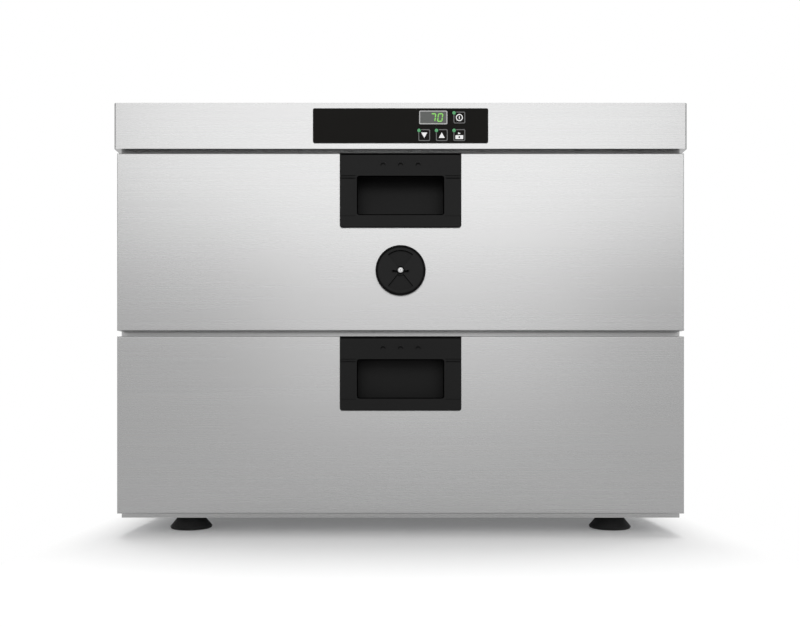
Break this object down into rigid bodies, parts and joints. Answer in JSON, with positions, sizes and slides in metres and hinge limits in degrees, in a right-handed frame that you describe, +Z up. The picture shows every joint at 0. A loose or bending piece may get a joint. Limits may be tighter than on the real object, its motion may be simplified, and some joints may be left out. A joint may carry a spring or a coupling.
{
  "type": "warming drawer",
  "caption": "Steel warming cabinet with stacked insulated pan drawers, recessed black handles, a rotary vent and a top control panel.",
  "frame": {"origin": "on the floor, at the middle of the whole object's width and depth", "axes": "+X to the right of someone facing the drawers, +Y into the cabinet, +Z up"},
  "size_m": [0.655, 0.5316, 0.496],
  "materials": {
    "outer_steel": "horizontal brushed grain, satin",
    "inner_steel": "plain mill finish",
    "pan_steel": "bright drawn finish",
    "zinc_steel": "zinc coated, dull",
    "rail_steel": "zinc plated, satin",
    "screw_steel": "plated",
    "rivet_steel": "bright domed head",
    "wool": "mineral wool",
    "foot_black": "satin black",
    "black_plastic": "satin black nylon",
    "handle_black": "satin black moulding",
    "vent_black": "gloss black ring",
    "vent_grey": "satin black disc",
    "panel_black": "black film, slight gloss",
    "display_lens": "smoked lens",
    "figure_block": "dark block with lit figures",
    "green_lamp": "small green lamp",
    "seal_rubber": "black silicone",
    "element_sheath": "oxidised sheath",
    "switch_ceramic": "white ceramic",
    "core_steel": "laminated core",
    "board_green": "green circuit board"
  },
  "bodies": {
    "cabinet": {"top_cap": "outer_steel", "left_side_panel": "outer_steel", "right_side_panel": "outer_steel", "back_panel": "zinc_steel", "base_pan": "zinc_steel", "front_frame": "outer_steel", "chamber_liner": "inner_steel", "insulation_blanket": "wool", "compartment_floor": "zinc_steel", "front_left_foot": "foot_black", "front_right_foot": "foot_black", "rear_left_foot": "foot_black", "rear_right_foot": "foot_black", "foot_screws": "zinc_steel", "case_screws": "screw_steel", "cable_gland": "black_plastic", "heating_element": "element_sheath", "element_brackets": "inner_steel", "temperature_probe": "screw_steel", "safety_thermostat": "switch_ceramic", "transformer": "core_steel", "terminal_block": "switch_ceramic", "control_panel": "panel_black", "display_window": "display_lens", "display_module": "figure_block", "indicator_lights": "green_lamp", "control_board": "board_green", "upper_outer_rails": "rail_steel", "lower_outer_rails": "rail_steel"},
    "upper_drawer": {"upper_drawer_front": "outer_steel", "upper_inner_panel": "inner_steel", "upper_front_insulation": "wool", "upper_gasket": "seal_rubber", "upper_handle": "handle_black", "upper_handle_caps": "handle_black", "upper_inner_rails": "rail_steel", "upper_pan_frame": "inner_steel", "upper_food_pan": "pan_steel", "vent_seat": "vent_black"},
    "lower_drawer": {"lower_drawer_front": "outer_steel", "lower_inner_panel": "inner_steel", "lower_front_insulation": "wool", "lower_gasket": "seal_rubber", "lower_handle": "handle_black", "lower_handle_caps": "handle_black", "lower_inner_rails": "rail_steel", "lower_pan_frame": "inner_steel", "lower_food_pan": "pan_steel"},
    "upper_middle_slide": {"upper_middle_rails": "rail_steel"},
    "lower_middle_slide": {"lower_middle_rails": "rail_steel"},
    "vent_knob": {"vent_disc": "vent_grey", "vent_rivet": "rivet_steel"},
    "power_key": {"power_key": "panel_black"},
    "down_key": {"down_key": "panel_black"},
    "up_key": {"up_key": "panel_black"},
    "start_key": {"start_key": "panel_black"}
  },
  "joints": [
    {"name": "upper_drawer_slide", "type": "slide", "parent": "cabinet", "child": "upper_drawer", "axis": [0, -1, 0], "range_m": [0, 0.38]},
    {"name": "lower_drawer_slide", "type": "slide", "parent": "cabinet", "child": "lower_drawer", "axis": [0, -1, 0], "range_m": [0, 0.38]},
    {"name": "upper_middle_travel", "type": "slide", "parent": "cabinet", "child": "upper_middle_slide", "axis": [0, -1, 0], "range_m": [0, 0.19]},
    {"name": "lower_middle_travel", "type": "slide", "parent": "cabinet", "child": "lower_middle_slide", "axis": [0, -1, 0], "range_m": [0, 0.19]},
    {"name": "vent_turn", "type": "hinge", "parent": "upper_drawer", "child": "vent_knob", "pos_m": [0, -0.2592, 0.304], "axis": [0, 1, 0], "range_deg": [0, 90]},
    {"name": "power_key_press", "type": "slide", "parent": "cabinet", "child": "power_key", "axis": [0, 1, 0], "range_m": [0, 0.0005], "stiffness_N_per_m": 900, "springref_m": -0.0005},
    {"name": "down_key_press", "type": "slide", "parent": "cabinet", "child": "down_key", "axis": [0, 1, 0], "range_m": [0, 0.0005], "stiffness_N_per_m": 900, "springref_m": -0.0005},
    {"name": "up_key_press", "type": "slide", "parent": "cabinet", "child": "up_key", "axis": [0, 1, 0], "range_m": [0, 0.0005], "stiffness_N_per_m": 900, "springref_m": -0.0005},
    {"name": "start_key_press", "type": "slide", "parent": "cabinet", "child": "start_key", "axis": [0, 1, 0], "range_m": [0, 0.0005], "stiffness_N_per_m": 900, "springref_m": -0.0005}
  ],
  "couplings": [
    {"joint": "upper_middle_travel", "follows": "upper_drawer_slide", "ratio": 0.5},
    {"joint": "lower_middle_travel", "follows": "lower_drawer_slide", "ratio": 0.5}
  ]
}
